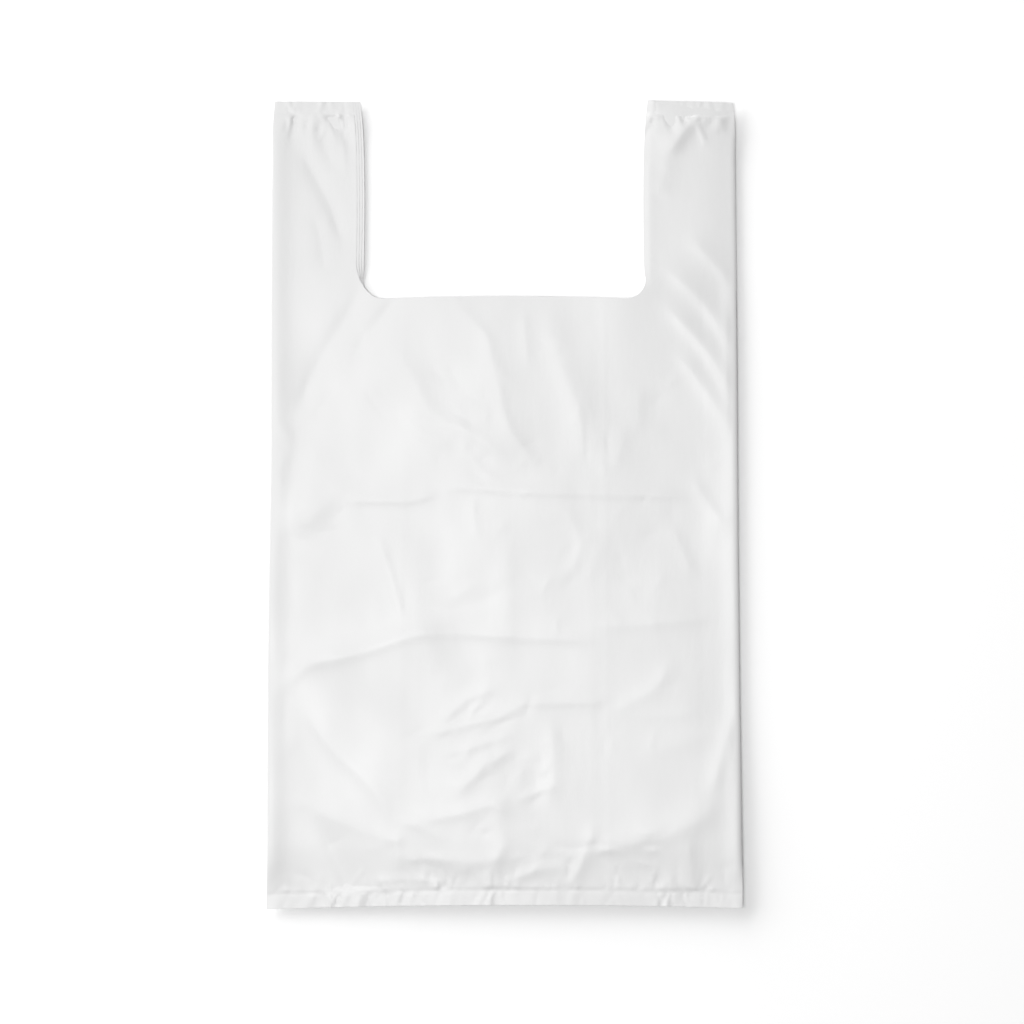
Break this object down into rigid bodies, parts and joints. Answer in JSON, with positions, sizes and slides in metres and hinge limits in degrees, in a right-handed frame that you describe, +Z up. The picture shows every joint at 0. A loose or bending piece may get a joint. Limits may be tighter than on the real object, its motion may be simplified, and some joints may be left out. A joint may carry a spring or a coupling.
{
  "type": "plastic carrier bag",
  "caption": "Empty vest carrier bag of thin white film lying flat, with tucked side gussets, welded top and bottom edges, and a handle loop at each side of its cut-out mouth.",
  "frame": {"origin": "under the middle of the flat bag, on the surface that its back panel lies on", "axes": "+X across the bag, +Y along it from the bottom edge towards the handles, +Z up out of the front panel"},
  "size_m": [0.3, 0.51, 0.0039],
  "materials": {
    "white_film": "satin"
  },
  "bodies": {
    "root": {"carrier_bag": "white_film"}
  },
  "joints": []
}
